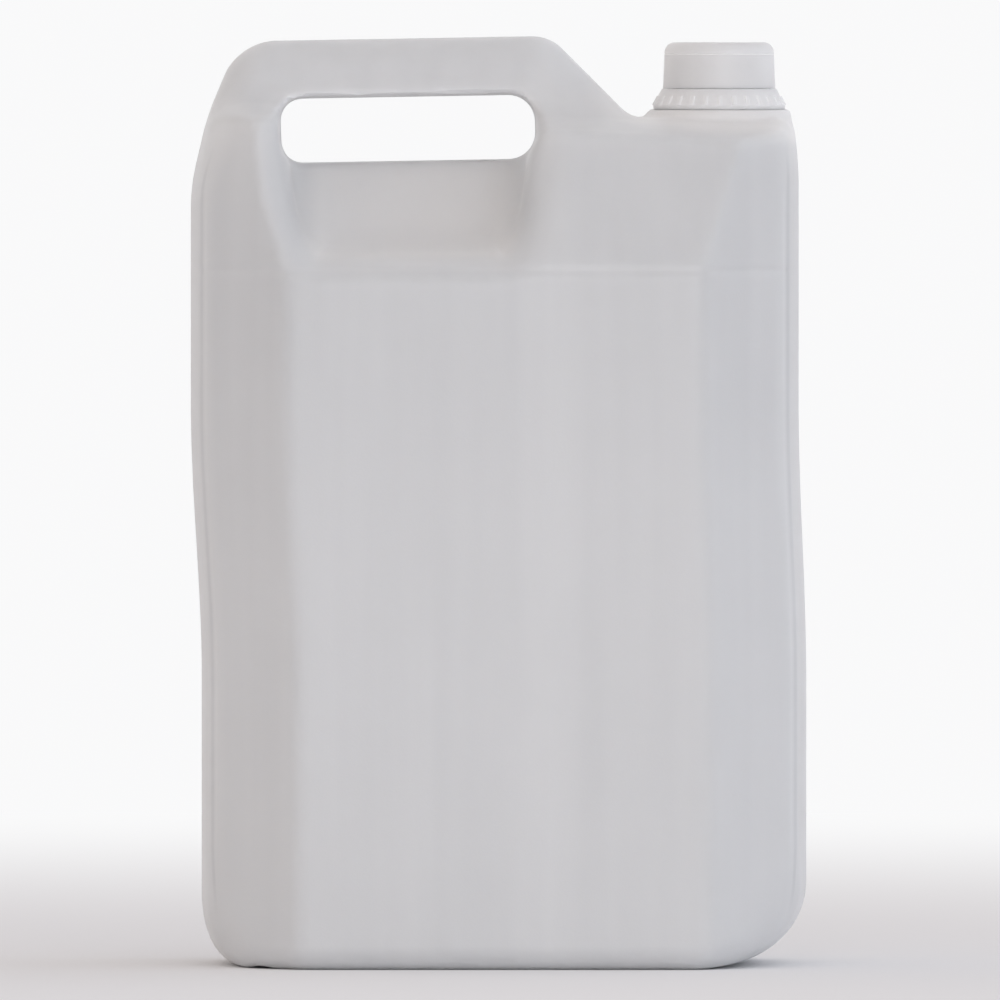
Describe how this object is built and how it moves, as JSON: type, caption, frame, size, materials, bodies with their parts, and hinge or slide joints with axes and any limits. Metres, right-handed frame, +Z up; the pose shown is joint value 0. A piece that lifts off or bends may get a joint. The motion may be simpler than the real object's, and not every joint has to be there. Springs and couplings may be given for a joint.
{
  "type": "oil jug",
  "caption": "Translucent blow-moulded plastic jug with faceted corners, a moulded-in carrying handle with a finger opening, and an offset neck closed by a screw cap.",
  "frame": {"origin": "centre of the bounding box on the base plane", "axes": "+X from the handle to the neck, -Y out of the front panel, +Z up"},
  "size_m": [0.1924, 0.12, 0.2904],
  "materials": {
    "natural_polyethylene": "satin, translucent",
    "cap_polyethylene": "satin, slightly translucent",
    "foam": "matt closed-cell foam"
  },
  "bodies": {
    "jug": {"bottle": "natural_polyethylene", "tamper_ring": "cap_polyethylene"},
    "wad": {"sealing_wad": "foam"},
    "cap": {"cap": "cap_polyethylene"}
  },
  "joints": [
    {"name": "cap_lift", "type": "slide", "parent": "jug", "child": "wad", "axis": [0, 0, 1], "range_m": [0, 0.0169]},
    {"name": "cap_turn", "type": "hinge", "parent": "wad", "child": "cap", "pos_m": [0.0691, 0, 0.28], "axis": [0, 0, 1], "range_deg": [0, 1440]}
  ],
  "couplings": [
    {"joint": "cap_lift", "follows": "cap_turn", "m_per_rad": 0.00066845}
  ]
}
